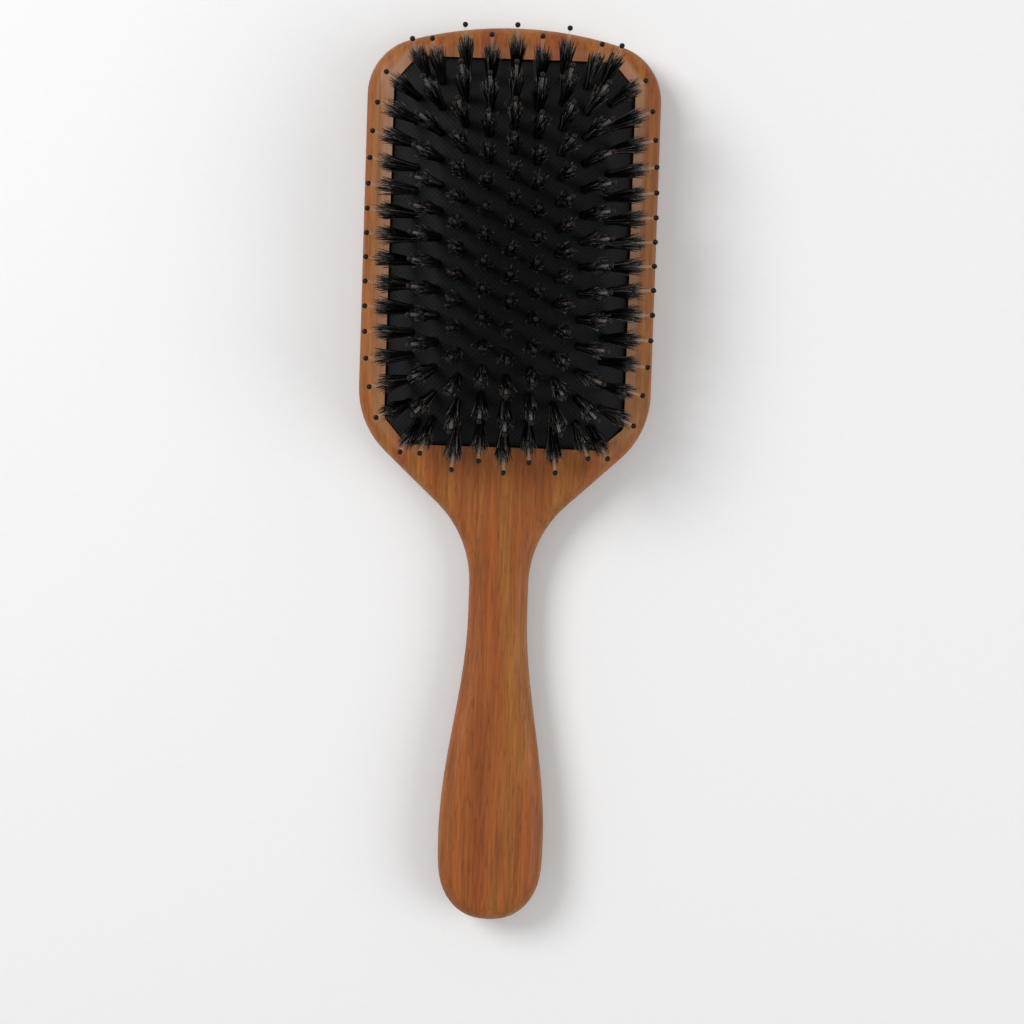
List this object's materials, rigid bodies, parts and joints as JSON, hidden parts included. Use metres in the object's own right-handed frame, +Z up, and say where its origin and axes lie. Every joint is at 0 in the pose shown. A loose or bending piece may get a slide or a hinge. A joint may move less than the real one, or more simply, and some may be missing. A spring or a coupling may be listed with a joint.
{
  "type": "paddle hair brush",
  "caption": "Cushioned wooden paddle brush: a flat rounded head and handle, with boar bristle tufts and ball tipped pins on a domed air cushion.",
  "frame": {"origin": "centre of the underside of the bounding box, on the surface that the flat back rests on", "axes": "+Z up out of the bristles, +Y from the handle to the crown of the head, +X across to the right"},
  "size_m": [0.0802, 0.245, 0.0452],
  "materials": {
    "wood": "satin varnished, orange-brown",
    "rubber": "matt charcoal, finely textured",
    "pin_nylon": "pale translucent nylon",
    "tip_bead": "dipped, very dark brown",
    "bristle": "black boar bristle"
  },
  "bodies": {
    "brush_body": {"wooden_body": "wood", "rubber_cushion": "rubber"},
    "centre_field": {"nylon_pins_centre_left": "pin_nylon", "nylon_pins_centre_right": "pin_nylon", "ball_tips_centre_left": "tip_bead", "ball_tips_centre_right": "tip_bead", "bristle_tufts_centre_left": "bristle", "bristle_tufts_centre_right": "bristle"},
    "middle_field": {"nylon_pins_middle_left": "pin_nylon", "nylon_pins_middle_right": "pin_nylon", "ball_tips_middle_left": "tip_bead", "ball_tips_middle_right": "tip_bead", "bristle_tufts_middle_left": "bristle", "bristle_tufts_middle_right": "bristle"},
    "border_field": {"nylon_pins_border_left": "pin_nylon", "nylon_pins_border_right": "pin_nylon", "ball_tips_border_left": "tip_bead", "ball_tips_border_right": "tip_bead", "bristle_tufts_border_left": "bristle", "bristle_tufts_border_right": "bristle"},
    "edge_field": {"nylon_pins_edge_left": "pin_nylon", "nylon_pins_edge_right": "pin_nylon", "ball_tips_edge_left": "tip_bead", "ball_tips_edge_right": "tip_bead", "bristle_tufts_edge_left": "bristle", "bristle_tufts_edge_right": "bristle"}
  },
  "joints": [
    {"name": "cushion_press", "type": "slide", "parent": "brush_body", "child": "centre_field", "axis": [0, 0, -1], "range_m": [0, 0.004], "stiffness_N_per_m": 1500, "deforming": ["rubber_cushion"]},
    {"name": "middle_follow", "type": "slide", "parent": "brush_body", "child": "middle_field", "axis": [0, 0, -1], "range_m": [0, 0.00326]},
    {"name": "border_follow", "type": "slide", "parent": "brush_body", "child": "border_field", "axis": [0, 0, -1], "range_m": [0, 0.00218]},
    {"name": "edge_follow", "type": "slide", "parent": "brush_body", "child": "edge_field", "axis": [0, 0, -1], "range_m": [0, 0.00134]}
  ],
  "couplings": [
    {"joint": "middle_follow", "follows": "cushion_press", "ratio": 0.81},
    {"joint": "border_follow", "follows": "cushion_press", "ratio": 0.54},
    {"joint": "edge_follow", "follows": "cushion_press", "ratio": 0.33}
  ]
}
